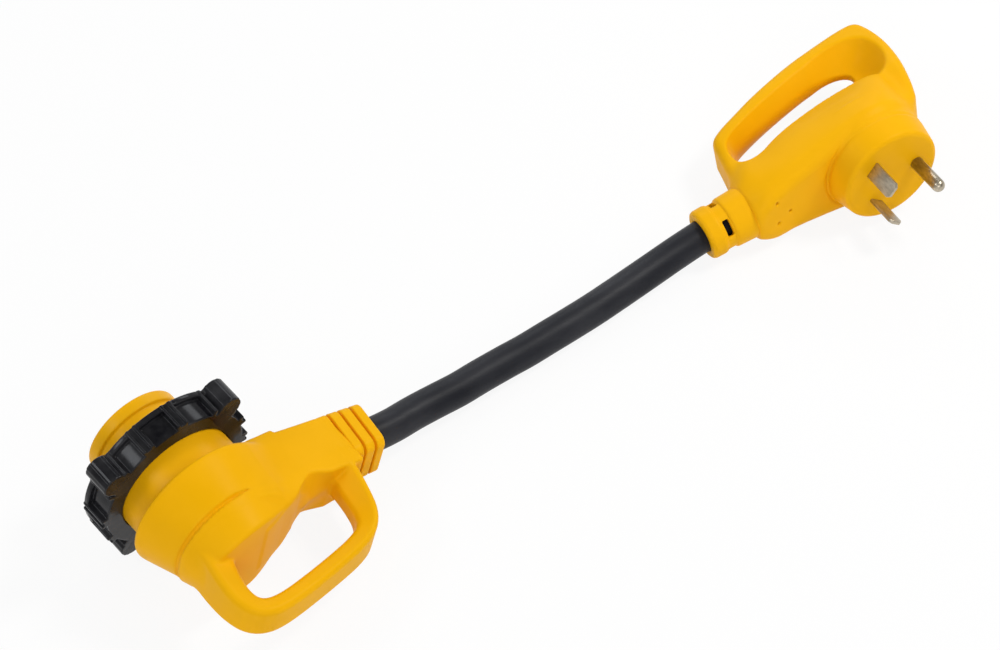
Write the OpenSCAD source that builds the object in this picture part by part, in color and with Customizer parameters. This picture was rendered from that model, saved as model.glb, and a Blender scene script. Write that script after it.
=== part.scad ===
// Power adapter dogbone for caravans: a short heavy cord with a three-prong plug
// at one end and a locking connector with a threaded ring at the other.
// Each head is drawn in a frame of its own: X runs to the cord, Y runs out of the
// face and Z is up across the head. The pose values then lay both heads down.

/* [Plug face and prongs] */
// Radius of the plug's face at its front edge
plug_face_r = 26; // [25:0.5:28]
// Radius of the raised face where it meets the body
plug_base_r = 27.2; // [27:0.2:29]
// How far the face stands in front of the body
plug_face_h = 13.5; // [11:0.5:16]
// Thickness of the moulding in front of the blade carrier
plug_face_wall = 5; // [3:0.5:7]
// Width of each flat blade
blade_w = 8.5; // [7:0.5:9]
// Thickness of each flat blade
blade_t = 1.8; // [1.4:0.1:2.2]
// Length of each flat blade in front of the face
blade_len = 18; // [14:1:22]
// Slant of each blade from the line through the pin
blade_slant = 45; // [35:5:50]
// Distance of each blade's centre from the middle plane
blade_side = 11.8; // [10.5:0.2:12.6]
// Distance of the blades' line from the face centre, towards the cord
blade_row = 10.3; // [8:0.5:11]
// Diameter of the round earth pin
pin_d = 6.6; // [4.4:0.1:7.2]
// Length of the earth pin in front of the face
pin_len = 22; // [18:1:26]
// Distance of the earth pin from the face centre, away from the cord
pin_row = 14.2; // [12:0.2:16]

/* [Plug body] */
// Radius of the body just behind the raised face
plug_body_r = 30; // [29:0.5:32]
// Depth of the cord's axis behind the face
plug_cord_depth = 24.5; // [24:0.5:26]
// Distance from the face centre to the cord's exit
plug_exit = 95; // [92:1:102]
// Depth of the grip's back behind the face, at its far end
plug_grip_back = 94; // [88:1:100]
// Thickness of the grip bar, front to back
plug_bar_t = 12; // [10:1:15]
// Height of the grip bar
plug_bar_h = 24; // [20:1:28]

/* [Connector body] */
// Radius of the barrel that enters the inlet
barrel_r = 23.3; // [22:0.1:24]
// Length of the barrel in front of the ring's datum
barrel_len = 21.4; // [18:0.2:24]
// Radius of the neck that carries the ring
neck_r = 28.4; // [27:0.1:29]
// Radius of the flange behind the ring
flange_r = 33.8; // [32:0.2:35]
// Depth of the flange's front edge behind the datum
flange_depth = 25.4; // [24:0.2:28]
// Length of the tapered skirt behind the flange
skirt_len = 24; // [20:1:27]
// Radius at the small end of the skirt
skirt_end_r = 27; // [26:0.2:30]
// Angle of the arm, leaning back from square to the barrel
arm_angle = 8; // [4:1:10]
// Depth at which the arm's axis crosses the barrel's axis
arm_depth = 28.6; // [27:0.2:30]
// Length of the arm to the cord's exit
arm_len = 89; // [86:0.5:96]
// Width of the square strain relief
relief_w = 26.5; // [24:0.5:30]
// Height of the connector's grip bar
conn_bar_h = 17; // [14:1:20]
// Thickness of the connector's grip bar
conn_bar_t = 9; // [7:0.5:11]

/* [Locking ring] */
// Outer radius of the ring between its lobes
ring_r = 39.4; // [38.5:0.1:41]
// Radius over the four grip lobes
lobe_r = 46.5; // [44.5:0.5:48]
// Length of the ring along the barrel
ring_len = 14; // [13:0.5:15]
// Number of grip lobes
lobe_count = 4; // [3:1:6]
// Width of each lobe
lobe_w = 14; // [11:0.5:17]
// Running clearance between the ring and what carries it
ring_gap = 0.3; // [0.2:0.05:0.5]
// Inner radius of the ring's thread at its crests
thread_r = 34.4; // [33.5:0.1:35]
// Pitch of the thread
thread_pitch = 2.5; // [2:0.25:3]

/* [Contacts] */
// Radius of the circle that the curved slots lie on
slot_r = 15.5; // [14:0.25:16.5]
// Width of each curved slot
slot_w = 2.6; // [2:0.1:3]
// Arc that each slot spans, in degrees
slot_arc = 46; // [36:2:52]
// Bore radius of the earth socket in the middle
socket_r = 3.2; // [2.6:0.1:3.6]
// Thickness of the contact metal
contact_t = 0.8; // [0.6:0.1:1]

/* [Cord] */
// Outer diameter of the cord's jacket
cord_d = 16.5; // [16:0.1:17]
// Diameter of each insulated wire
wire_d = 4.8; // [4.4:0.1:4.9]
// Diameter of each bare copper conductor
copper_d = 2.8; // [2.4:0.1:3]

/* [Pose] */
// Place of the plug's face centre
plug_at = [190.2, -1.6, 32.03];
// Tilt, lean and turn of the plug, in degrees
plug_turn = [5, 10.5, 180.5];
// Place of the connector's datum
conn_at = [-194.8, 1.9, 40.15];
// Tilt, lean and turn of the connector, in degrees
conn_turn = [6, 12, 16];

/* [Hidden] */

yellow = "#F2B31C";
black = "#1B1B1E";
rubber = "#26272B";
nickel = "#A39C88";
brass = "#B9974C";
carrier_grey = "#4A4A4C";

// Clearance round a piece that is moulded in
fit = 0.1;
// More than the height of either head
clear_h = 80;

// Where the prongs' stems turn towards the cord, behind the plug's face
crimp_r = 2.6;
crimp_bore_r = 1.6;
crimp_len = 9;
tab_t = 1.2;
tab_w = 4.8;
tab_gap = 0.05;
pin_stem_r = 2;
pin_foot = 0.3;
pin_seat_h = 0.5;
carrier_r = 21.5;
carrier_t = 12;
plug_room_r = 23.5;
plug_room_x = 4;
plug_room_end = plug_cord_depth + 8;
carrier_back = plug_face_wall + carrier_t;
plug_tab_depth = plug_cord_depth - crimp_r - tab_gap - tab_t;

// How far the jacket runs into each head, and the wires' lane there
cord_insert = 26;
duct_half = 5.8;
plug_duct_x = 20;
plug_jacket_x = plug_exit - cord_insert;

// Plug body
plug_body_depth = plug_face_h + 4;
plug_body_disc = 8;
relief_r = 12.9;
relief_neck_r = 11.3;
shoulder_r = 15;
shoulder_x = plug_exit - 27;
grip_corner_r = 10;
palm_depth = 50;
grip_far = [-33, plug_grip_back - grip_corner_r];
grip_mid = [5, plug_grip_back - 13.5];
grip_near = [59, plug_grip_back - 33];

// Connector body
ring_front = 2.6;
barrel_root_r = 25;
barrel_root_depth = flange_depth + 5.6;
lip_r = 31;
lip_depth = 3.4;
lip_t = 1.8;
conn_room_r = 22;
conn_room_end = barrel_root_depth + 17;
conn_lane_depth = barrel_root_depth + 10;
skirt_end = flange_depth + skirt_len;
ring_travel = 9;
shoulder_depth = ring_len - ring_front + ring_travel + 0.2;
arm_end = arm_len - 18.5;
plate_count = 3;
plate_pitch = (arm_len - arm_end) / plate_count;
plate_gap = 0.8;

// Locking ring and seal
seal_t = 2.4;
seal_r = 34;
seal_depth = lip_depth + lip_t + ring_gap;
web_depth = seal_depth + seal_t + ring_gap;
thread_root_r = thread_r + 1.2;
ring_bore_r = neck_r + ring_gap;
ring_phase = 58;
pocket_depth = 1.2;

// Contacts
contact_angles = [60, 180, 300];
slot_wall = 2.5;
insert_r = 20;
insert_front = barrel_len - 1;
contact_depth = 24;
socket_depth = 7;
tail_r = 1.5;
backplate_t = 2.5;
backplate_r = 21;
screw_angles = [0, 120, 240];
screw_circle_r = 17.5;
screw_r = 1.5;
screw_head_r = 2.9;
screw_len = 8;
conn_tab_depth = conn_lane_depth - crimp_r - tab_gap - tab_t;
jumper_depth = barrel_root_depth + backplate_t + 1.4;
jumper_t = 1;

// The loose stretch of the cord between the heads
cord_free = [
    [-89.7, -11.6, 15.2], [-76.7, -8.3, 13], [-64.2, -6, 11.4], [-51.5, -4.2, 10.4],
    [-38.8, -1.8, 9.8], [-25, 0.4, 9.3], [-12.2, 2.1, 9], [0.8, 4.4, 8.8], [13.8, 6.6, 8.7],
    [27.8, 9.1, 8.7], [40.8, 11.8, 8.8], [53.8, 14.6, 9], [66.8, 17.3, 9.5], [80.8, 19.9, 10.6]
];
cord_sides = 12;
wire_sides = 8;
jacket_wall = 2.35;
wire_offset = 2.9;
wire_angles = [60, 300, 180];
copper_gap = 0.1;

// ---------- helpers ----------

// Lays a piece drawn in the plug's own frame where the plug lies
module at_plug() translate(plug_at) rotate(plug_turn) children();

// Lays a piece drawn in the connector's own frame where the connector lies
module at_conn() translate(conn_at) rotate(conn_turn) children();

// Starts at the given place along Y and runs back into the head; drawn Y becomes Z
module back_from(y) translate([0, y, 0]) rotate([90, 0, 0]) children();

// Runs towards the cord from the given point
module cordwards(p) translate(p) rotate([0, 90, 0]) children();

// An egg that is round seen from above, with its own height
module egg(x, depth, r, half_h)
    translate([x, -depth, 0]) scale([1, 1, half_h / r]) sphere(r = r, $fn = 32);

// Rotation matrix for turns about X, then Y, then Z
function turn_matrix(t) =
    [[cos(t.z), -sin(t.z), 0], [sin(t.z), cos(t.z), 0], [0, 0, 1]]
    * [[cos(t.y), 0, sin(t.y)], [0, 1, 0], [-sin(t.y), 0, cos(t.y)]]
    * [[1, 0, 0], [0, cos(t.x), -sin(t.x)], [0, sin(t.x), cos(t.x)]];

function in_plug(p) = plug_at + turn_matrix(plug_turn) * p;
function in_conn(p) = conn_at + turn_matrix(conn_turn) * p;

// A point on the connector arm's axis, and one on the plug's cord axis
function on_arm(u) = in_conn([u * cos(arm_angle), -arm_depth - u * sin(arm_angle), 0]);
function on_plug(x) = in_plug([x, -plug_cord_depth, 0]);

// The cord's axis, from inside the connector to inside the plug
cord_route = concat(
    [for (d = [cord_insert - 0.5, cord_insert / 2, 0]) on_arm(arm_len - d)],
    cord_free,
    [for (d = [0, cord_insert / 2, cord_insert - 0.5]) on_plug(plug_exit - d)]);

function unit(v) = v / norm(v);
function heading(path, i) =
    unit(path[min(i + 1, len(path) - 1)] - path[max(i - 1, 0)]);

// A point beside the path, at an angle seen along it, with up kept up
function beside(path, i, r, a) =
    let (t = heading(path, i), s = unit(cross([0, 0, 1], t)), u = cross(t, s))
    path[i] + r * (cos(a) * s + sin(a) * u);

// A round tube along a path: solid where inner is 0
module sweep(path, outer, inner, sides) {
    n = len(path);
    wall = [for (r = inner > 0 ? [outer, inner] : [outer], i = [0:n - 1], k = [0:sides - 1])
        beside(path, i, r, (k + 0.5) * 360 / sides)];
    m = n * sides;
    skin = [for (i = [0:n - 2], k = [0:sides - 1])
        let (a = i * sides + k, b = i * sides + (k + 1) % sides)
        [a, b, b + sides, a + sides]];
    lining = [for (f = skin) [for (j = [3:-1:0]) f[j] + m]];
    mouths = [for (i = [0, n - 1], k = [0:sides - 1])
        let (a = i * sides + k, b = i * sides + (k + 1) % sides)
        i == 0 ? [a, a + m, b + m, b] : [b, b + m, a + m, a]];
    caps = [[for (k = [sides - 1:-1:0]) k], [for (k = [0:sides - 1]) m - sides + k]];
    polyhedron(points = wall, faces = inner > 0 ? concat(skin, lining, mouths) : concat(skin, caps));
}

// A flat ring sector, centred on an angle, in a few straight steps
module sector(r, w, a, arc, steps = 4)
    polygon([
        for (i = [0:steps]) let (b = a + arc * (i / steps - 0.5)) (r + w / 2) * [cos(b), sin(b)],
        for (i = [steps:-1:0]) let (b = a + arc * (i / steps - 0.5)) (r - w / 2) * [cos(b), sin(b)]
    ]);

// The ferrule that joins a wire to a stem's tab
module crimp(x, depth, z)
    cordwards([x, -depth, z]) difference() {
        cylinder(r = crimp_r, h = crimp_len, $fn = 32);
        translate([0, 0, -1]) cylinder(r = crimp_bore_r, h = crimp_len + 2, $fn = 32);
    }

// The tab that a ferrule sits on, bent towards the cord from a stem at x
module tab(x, depth, z)
    translate([x - tab_w / 2, -depth - tab_t, z - tab_w / 2])
        cube([crimp_len + tab_w, tab_t, tab_w]);

// ---------- plug ----------

// The plug's closed outer form, before its hollows
module plug_form() {
    back_from(0) rotate_extrude($fn = 96) polygon([
        [0, 0], [plug_face_r - 2, 0], [plug_face_r - 0.5, 0.7], [plug_face_r, 2],
        [plug_base_r, plug_face_h], [plug_body_r - 0.5, plug_body_depth],
        [plug_body_r - 0.5, plug_body_depth + 4], [0, plug_body_depth + 4]
    ]);
    hull() {
        back_from(-plug_body_depth) cylinder(r = plug_body_r, h = plug_body_disc, $fn = 48);
        egg(grip_far.x, grip_far.y, grip_corner_r, plug_bar_h / 2);
        egg(grip_mid.x, grip_mid.y, 7.5, plug_bar_h / 2);
        egg(grip_mid.x + 28, grip_mid.y - 5.5, 7, plug_bar_h / 2);
        egg(grip_near.x, grip_near.y, 6, plug_bar_h / 2 - 1);
        egg(-30, palm_depth + 5, grip_corner_r + 1, plug_bar_h / 2 + 2);
        egg(46, plug_cord_depth, 20.5, 20);
        cordwards([shoulder_x - 2, -plug_cord_depth, 0]) cylinder(r = shoulder_r, h = 2, $fn = 32);
    }
    cordwards([shoulder_x - 1, -plug_cord_depth, 0]) rotate_extrude($fn = 64) polygon([
        [0, 0], [relief_r, 0], [relief_r - 0.3, 11], [relief_neck_r, 12],
        [relief_neck_r, 19], [relief_r, 20], [relief_r - 0.4, plug_exit - shoulder_x],
        [relief_r - 1.2, plug_exit - shoulder_x + 1], [0, plug_exit - shoulder_x + 1]
    ]);
}

// The opening that fingers go through, between the body and the grip bar
module plug_finger_gap()
    translate([0, 0, -clear_h / 2]) linear_extrude(clear_h) offset(r = 4, $fn = 24) offset(delta = -4)
        polygon([
            [57, -palm_depth + 7], [47, -palm_depth + 7.5], [30, -palm_depth + 3],
            [8, -palm_depth], [-12, -palm_depth - 1], [-23, -palm_depth - 6],
            for (p = [[-23, 10], [-16, 3], [0, 5.5], [24, 9.5], [52, 16]])
                [p.x, -(plug_grip_back - plug_bar_t - p.y)]
        ]);

// Shallow scoop at the gap's far end, above or below
module plug_scoop(side)
    translate([-27, -palm_depth - 16, side * (plug_bar_h / 2 + 3)]) scale([16, 13, 8])
        sphere(r = 1, $fn = 32);

// Hollows for the carrier, the prongs' tabs, the wires and the cord
module plug_hollows() {
    back_from(-plug_face_wall) cylinder(r = carrier_r + fit, h = carrier_t + 1, $fn = 96);
    translate([plug_room_x, 0, 0]) back_from(-carrier_back)
        cylinder(r = plug_room_r, h = plug_room_end - carrier_back, $fn = 96);
    back_from(-plug_cord_depth + duct_half) linear_extrude(2 * duct_half) polygon([
        [plug_duct_x, 15.5], [plug_jacket_x, cord_d / 2], [plug_jacket_x, -cord_d / 2],
        [plug_duct_x, -15.5]
    ]);
    cordwards([plug_jacket_x - 0.5, -plug_cord_depth, 0])
        cylinder(r = cord_d / 2, h = cord_insert + 2, $fn = 64);
}

// Slots through the strain relief that let it bend: two at the sides, two above and below
module plug_relief_slots() {
    for (s = [-1, 1]) {
        translate([shoulder_x + 12.5, -plug_cord_depth + s * 11, -5]) cube([2.4, 7, 10], center = false);
        translate([shoulder_x + 16, -plug_cord_depth - 5, s * 11 - 3.5]) cube([2.4, 10, 7], center = false);
    }
}

// The blades' section where they pass through something, grown by a clearance
module blade_section(side, grow)
    translate([blade_row, side * blade_side]) rotate(-side * blade_slant)
        square([blade_w + 2 * grow, blade_t + 2 * grow], center = true);

module prong_holes(from, depth) {
    back_from(-from) linear_extrude(depth) for (s = [-1, 1]) blade_section(s, fit);
    translate([-pin_row, 0, 0]) back_from(-from) cylinder(r = pin_stem_r + fit, h = depth, $fn = 48);
}

// The shallow clearance round the pin's foot in the plug's face
module pin_seat()
    translate([-pin_row, 0, 0]) back_from(1) cylinder(r = pin_d / 2 + fit, h = 1 + pin_seat_h, $fn = 48);

module plug_overmold()
    color(yellow) at_plug() difference() {
        plug_form();
        plug_finger_gap();
        for (s = [-1, 1]) plug_scoop(s);
        plug_hollows();
        plug_relief_slots();
        prong_holes(-1, plug_face_wall + 2);
        pin_seat();
    }

module plug_blade_carrier()
    color(carrier_grey) at_plug() difference() {
        back_from(-plug_face_wall) cylinder(r = carrier_r, h = carrier_t, $fn = 96);
        prong_holes(plug_face_wall - 1, carrier_t + 2);
    }

// One blade with its stem and tab; side is 1 above and -1 below
module blade(side) {
    stem = plug_tab_depth + tab_t;
    nose = 1.6;
    translate([blade_row, 0, side * blade_side]) rotate([0, side * blade_slant, 0])
        translate([0, 0, -blade_t / 2]) linear_extrude(blade_t) polygon([
            [-blade_w / 2, -stem], [blade_w / 2, -stem], [blade_w / 2, blade_len - nose],
            [blade_w / 2 - nose, blade_len], [-blade_w / 2 + nose, blade_len],
            [-blade_w / 2, blade_len - nose]
        ]);
    tab(blade_row, plug_tab_depth, side * blade_side);
}

module hot_blade() color(nickel) at_plug() blade(1);
module neutral_blade() color(nickel) at_plug() blade(-1);

module ground_pin()
    color(nickel) at_plug() {
        translate([-pin_row, 0, 0]) {
            back_from(pin_len - pin_d / 2)
                cylinder(r = pin_d / 2, h = pin_len - pin_d / 2 - pin_foot, $fn = 48);
            back_from(pin_foot + 0.5)
                cylinder(r = pin_stem_r, h = pin_foot + 0.5 + plug_tab_depth + tab_t / 2, $fn = 48);
            translate([0, pin_len - pin_d / 2, 0]) sphere(r = pin_d / 2, $fn = 48);
        }
        tab(-pin_row, plug_tab_depth, 0);
    }

plug_crimp_x = blade_row + 1.4;
pin_crimp_x = -pin_row + 2.4;

module plug_hot_crimp() color(brass) at_plug() crimp(plug_crimp_x, plug_cord_depth, blade_side);
module plug_neutral_crimp() color(brass) at_plug() crimp(plug_crimp_x, plug_cord_depth, -blade_side);
module plug_ground_crimp() color(brass) at_plug() crimp(pin_crimp_x, plug_cord_depth, 0);

// ---------- cord ----------

module cord_jacket() color(rubber) sweep(cord_route, cord_d / 2, cord_d / 2 - jacket_wall, cord_sides);

// A wire's lane in each head: height of the lane, and where its bare end starts
plug_lanes = [[plug_crimp_x, blade_side], [plug_crimp_x, -blade_side], [pin_crimp_x, 0]];
conn_lane_z = slot_r * sin(contact_angles[0]);
conn_crimp_x = slot_r * cos(contact_angles[0]) + 1.4;
socket_crimp_x = 2.4;
conn_lanes = [[conn_crimp_x, conn_lane_z], [conn_crimp_x, -conn_lane_z], [socket_crimp_x, 0]];
bare_end = 1;
strip_len = crimp_len + 1.5;

// Points of one wire's bare stretch and first bend, seen from its crimp outwards
function plug_bare(k) = [for (d = [bare_end, strip_len])
    in_plug([plug_lanes[k][0] + d, -plug_cord_depth, plug_lanes[k][1]])];
function plug_bend(k) = [for (q = [[0.12, 1], [0.4, 0.86], [0.75, 0.62]])
    let (x0 = plug_lanes[k][0] + strip_len)
    in_plug([x0 + q[0] * (plug_jacket_x - x0), -plug_cord_depth, plug_lanes[k][1] * q[1]])];
function conn_bare(k) = [for (d = [bare_end, strip_len])
    in_conn([conn_lanes[k][0] + d, -conn_lane_depth, conn_lanes[k][1]])];
function conn_bend(k) = [for (q = [[0.12, 1], [0.4, 0.86], [0.75, 0.58]])
    let (x0 = conn_lanes[k][0] + strip_len, x1 = (arm_len - cord_insert) * cos(arm_angle),
        y1 = arm_depth + x1 * tan(arm_angle), x = x0 + q[0] * (x1 - x0))
    in_conn([x, -(conn_lane_depth + (y1 - conn_lane_depth) * q[0] * q[0]), conn_lanes[k][1] * q[1]])];

function in_jacket(k) = [for (i = [0:len(cord_route) - 1])
    beside(cord_route, i, wire_offset, wire_angles[k])];

function reversed(v) = [for (i = [len(v) - 1:-1:0]) v[i]];

// Middle of one wire, from where its insulation starts to where it ends
function insulated(k) = concat(
    [conn_bare(k)[1]], conn_bend(k), in_jacket(k), reversed(plug_bend(k)), [plug_bare(k)[1]]);
function whole_wire(k) = concat([conn_bare(k)[0]], insulated(k), [plug_bare(k)[0]]);

module insulation(k) sweep(insulated(k), wire_d / 2, copper_d / 2 + copper_gap, wire_sides);
module copper(k) sweep(whole_wire(k), copper_d / 2, 0, wire_sides);

module hot_insulation() color("#202020") insulation(0);
module neutral_insulation() color("#E8E8E4") insulation(1);
module ground_insulation() color("#2F7D3B") insulation(2);
module hot_copper() color("#B87333") copper(0);
module neutral_copper() color("#B87333") copper(1);
module ground_copper() color("#B87333") copper(2);

// ---------- connector ----------

// Runs along the arm: drawn X is the distance along it
module along_arm() translate([0, -arm_depth, 0]) rotate(-arm_angle) children();

// The square section of the arm's end and of the relief's plates, cut at its corners
module relief_square(w) {
    c = 4.5;
    h = w / 2;
    polygon([
        [-h, c - h], [c - h, -h], [h - c, -h], [h, c - h],
        [h, h - c], [h - c, h], [c - h, h], [-h, h - c]
    ]);
}

module relief_plate(u, len, w)
    along_arm() translate([u, 0, 0]) rotate([90, 0, 90]) linear_extrude(len) relief_square(w);

// Solid skirt behind the flange, closed at the back
module skirt()
    back_from(0) rotate_extrude($fn = 96) polygon([
        [0, flange_depth], [flange_r - 0.8, flange_depth], [flange_r, flange_depth + 0.8],
        [flange_r, flange_depth + 3], [skirt_end_r, skirt_end], [skirt_end_r - 2, skirt_end + 4],
        [skirt_end_r - 8, skirt_end + 8], [0, skirt_end + 10]
    ]);

// Shoulder in front of the arm, which the ring meets when it is pushed back
module arm_shoulder()
    hull() {
        translate([26, -shoulder_depth - 14, -15]) cube([16, 14, 30]);
        translate([26, -shoulder_depth - 24, -17]) cube([14, 10, 34]);
    }

module arm()
    hull() {
        translate([16, -55, -13]) cube([18, 31, 26]);
        translate([16, -50, -16]) cube([18, 22, 32]);
        relief_plate(arm_end - 2, 1.5, relief_w);
    }

// The heel that closes the skirt and carries the grip
module heel()
    hull() {
        translate([0, -flange_depth - 8, 0]) back_from(0) cylinder(r = 24, h = 16, $fn = 48);
        egg(2, 46, 16, 18);
        egg(10, 52, 9, 12);
    }

module relief() {
    relief_plate(arm_end - 3, arm_len - arm_end + 3, relief_w - 3);
    for (i = [0:plate_count - 1])
        relief_plate(arm_end + i * plate_pitch + plate_gap, plate_pitch - plate_gap, relief_w - 0.4 * (i + 1));
}

// Places along the grip from the skirt to the arm: X, depth, half thickness, half height
conn_grip_line = [
    [-13, 48, 7.5, 13], [-16, 57, 7, 12.5], [-18.5, 68, 6, 11], [-19.5, 78, 5.4, 9.5],
    [-17.5, 85.5, 5.1, 8.8], [-12, 89.6, 4.8, 8.5], [-3, 90.6, 4.5, 8.5], [12, 89.3, 4.5, 8.5],
    [28, 87.3, 4.5, 8.5], [41, 85.2, 4.5, 8.5], [49.5, 82, 4.5, 8.5], [54.5, 76, 4.6, 9],
    [57, 67, 4.8, 10.5], [59, 57, 5.2, 12.5], [60, 47, 5.6, 12.5]
];

// A bar bent along a line in the head's X-Y plane, with a rounded oblong section
module bent_bar(line, thick, high) {
    sides = 20;
    n = len(line);
    path = [for (s = line) [s[0], -s[1], 0]];
    wall = [for (i = [0:n - 1], k = [0:sides - 1])
        let (t = heading(path, i), a = (k + 0.5) * 360 / sides, c = cos(a), d = sin(a))
        path[i] + thick * line[i][2] * sign(c) * pow(abs(c), 0.7) * [t.y, -t.x, 0]
            + [0, 0, high * line[i][3] * sign(d) * pow(abs(d), 0.7)]];
    skin = [for (i = [0:n - 2], k = [0:sides - 1])
        let (a = i * sides + k, b = i * sides + (k + 1) % sides)
        [a, b, b + sides, a + sides]];
    caps = [[for (k = [sides - 1:-1:0]) k], [for (k = [0:sides - 1]) (n - 1) * sides + k]];
    polyhedron(points = wall, faces = concat(skin, caps));
}

module conn_grip() bent_bar(conn_grip_line, conn_bar_t / 9, conn_bar_h / 17);

// Hollows for the barrel's root, the contacts' tails, the wires and the cord
module conn_hollows() {
    back_from(1) cylinder(r = neck_r + fit, h = flange_depth + 1, $fn = 96);
    back_from(-flange_depth + 1) cylinder(r = barrel_root_r + fit, h = barrel_root_depth - flange_depth + 1, $fn = 96);
    back_from(-barrel_root_depth) cylinder(r = conn_room_r, h = conn_room_end - barrel_root_depth, $fn = 96);
    hull() {
        translate([6, -conn_lane_depth - duct_half, -17]) cube([14, 2 * duct_half, 34]);
        along_arm() translate([arm_len - cord_insert - 1, -duct_half, -cord_d / 2])
            cube([1, 2 * duct_half, cord_d]);
    }
    along_arm() cordwards([arm_len - cord_insert - 0.5, 0, 0]) cylinder(r = cord_d / 2, h = cord_insert + 2, $fn = 64);
}

module connector_overmold()
    color(yellow) at_conn() difference() {
        union() {
            skirt();
            heel();
            arm_shoulder();
            arm();
            relief();
            conn_grip();
        }
        conn_hollows();
    }

// One contact's place on the slots' circle
function contact_xz(k) = slot_r * [cos(contact_angles[k]), sin(contact_angles[k])];

// The shell: front tube, lip and neck, open right through for the insert
module connector_barrel()
    color(yellow) at_conn() back_from(0) rotate_extrude($fn = 96) polygon([
        [insert_r + fit, -barrel_len], [barrel_r - 1.6, -barrel_len], [barrel_r - 0.4, -barrel_len + 0.4],
        [barrel_r, -barrel_len + 1.6], [barrel_r, lip_depth - 1], [lip_r, lip_depth],
        [lip_r, lip_depth + lip_t], [neck_r, lip_depth + lip_t], [neck_r, flange_depth],
        [barrel_root_r, flange_depth], [barrel_root_r, barrel_root_depth],
        [insert_r + fit, barrel_root_depth]
    ]);

// The core that holds the contacts, with a slot in its face for each blade
module contact_insert() {
    pocket_w = slot_w + 2 * contact_t + 2 * fit;
    color(carrier_grey) at_conn() difference() {
        back_from(insert_front) cylinder(r = insert_r, h = insert_front + barrel_root_depth, $fn = 96);
        for (a = contact_angles) {
            back_from(insert_front + 1) linear_extrude(slot_wall + 2) sector(slot_r, slot_w, a, slot_arc);
            back_from(insert_front - slot_wall) linear_extrude(insert_front - slot_wall + contact_depth)
                sector(slot_r, pocket_w, a, slot_arc + 3);
        }
        for (k = [0:2]) translate([contact_xz(k)[0], 0, contact_xz(k)[1]]) back_from(-contact_depth + 1)
            cylinder(r = tail_r + fit, h = barrel_root_depth - contact_depth + 2, $fn = 32);
        back_from(insert_front + 1) cylinder(r = socket_r + 0.4, h = slot_wall + 2, $fn = 64);
        back_from(insert_front - slot_wall)
            cylinder(r = socket_r + contact_t + fit, h = insert_front - slot_wall + socket_depth, $fn = 64);
        back_from(0) cylinder(r = tail_r + fit, h = barrel_root_depth + 1, $fn = 32);
        for (a = screw_angles) rotate([0, -a, 0]) translate([screw_circle_r, 0, 0])
            back_from(-barrel_root_depth + screw_len)
                cylinder(r = screw_r + 0.02, h = screw_len + 1, $fn = 32);
    }
}

// A curved female contact: two leaves joined at the back, a tail, and its tab if it has one
module contact(k, with_tab) {
    at = contact_xz(k);
    length = insert_front - slot_wall + contact_depth - 0.5;
    tail_end = with_tab ? conn_tab_depth + tab_t / 2 : jumper_depth + jumper_t;
    back_from(insert_front - slot_wall - 0.4) linear_extrude(length - contact_t) difference() {
        sector(slot_r, slot_w + 2 * contact_t, contact_angles[k], slot_arc);
        sector(slot_r, slot_w, contact_angles[k], 1.5 * slot_arc, 6);
    }
    back_from(insert_front - slot_wall - 0.4 - length + contact_t) linear_extrude(contact_t)
        sector(slot_r, slot_w + 2 * contact_t, contact_angles[k], slot_arc);
    translate([at[0], 0, at[1]]) back_from(-contact_depth + 1) cylinder(r = tail_r, h = tail_end - contact_depth + 1, $fn = 32);
    if (with_tab) tab(at[0], conn_tab_depth, at[1]);
}

module contact_x() color(brass) at_conn() contact(0, true);
module contact_y() color(brass) at_conn() contact(1, false);
module contact_neutral() color(brass) at_conn() contact(2, true);

module ground_socket()
    color(brass) at_conn() {
        mouth = insert_front - slot_wall - 0.4;
        difference() {
            back_from(mouth) cylinder(r = socket_r + contact_t, h = mouth + socket_depth - 0.3, $fn = 64);
            back_from(mouth + 1) cylinder(r = socket_r, h = mouth + socket_depth - 1.5, $fn = 64);
        }
        back_from(-socket_depth + 0.5) cylinder(r = tail_r, h = conn_tab_depth + tab_t / 2 - socket_depth + 0.5, $fn = 32);
        tab(0, conn_tab_depth, 0);
    }

module contact_backplate()
    color(carrier_grey) at_conn() difference() {
        back_from(-barrel_root_depth) cylinder(r = backplate_r, h = backplate_t, $fn = 96);
        back_from(-barrel_root_depth + 1) {
            cylinder(r = tail_r + fit, h = backplate_t + 2, $fn = 32);
            for (k = [0:2]) translate(contact_xz(k)) cylinder(r = tail_r + fit, h = backplate_t + 2, $fn = 32);
            for (a = screw_angles) rotate(a) translate([screw_circle_r, 0, 0])
                cylinder(r = screw_r + fit, h = backplate_t + 2, $fn = 32);
        }
    }

module backplate_screws()
    color("#8E9196") at_conn() for (a = screw_angles)
        back_from(-barrel_root_depth + screw_len - 1) rotate(a) translate([screw_circle_r, 0, 0]) {
            cylinder(r = screw_r, h = screw_len - 1 + backplate_t, $fn = 32);
            translate([0, 0, screw_len - 1 + backplate_t]) difference() {
                cylinder(r = screw_head_r, h = 1.8, $fn = 32);
                translate([-0.5, -screw_head_r, 1]) cube([1, 2 * screw_head_r, 1]);
            }
        }

// The strap that feeds the second line contact from the first
module hot_jumper() {
    ends = [contact_xz(0), contact_xz(1)];
    run = ends[1] - ends[0];
    color(brass) at_conn() back_from(-jumper_depth) difference() {
        linear_extrude(jumper_t) {
            for (p = ends) translate(p) circle(r = 3.2, $fn = 48);
            translate(ends[0]) rotate(atan2(run[1], run[0])) translate([0, -2.2]) square([norm(run), 4.4]);
        }
        for (p = ends) translate([p[0], p[1], -1]) cylinder(r = tail_r + 0.03, h = jumper_t + 2, $fn = 32);
    }
}

module connector_hot_crimp() color(brass) at_conn() crimp(conn_crimp_x, conn_lane_depth, conn_lane_z);
module connector_neutral_crimp() color(brass) at_conn() crimp(conn_crimp_x, conn_lane_depth, -conn_lane_z);
module connector_ground_crimp() color(brass) at_conn() crimp(socket_crimp_x, conn_lane_depth, 0);

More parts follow.
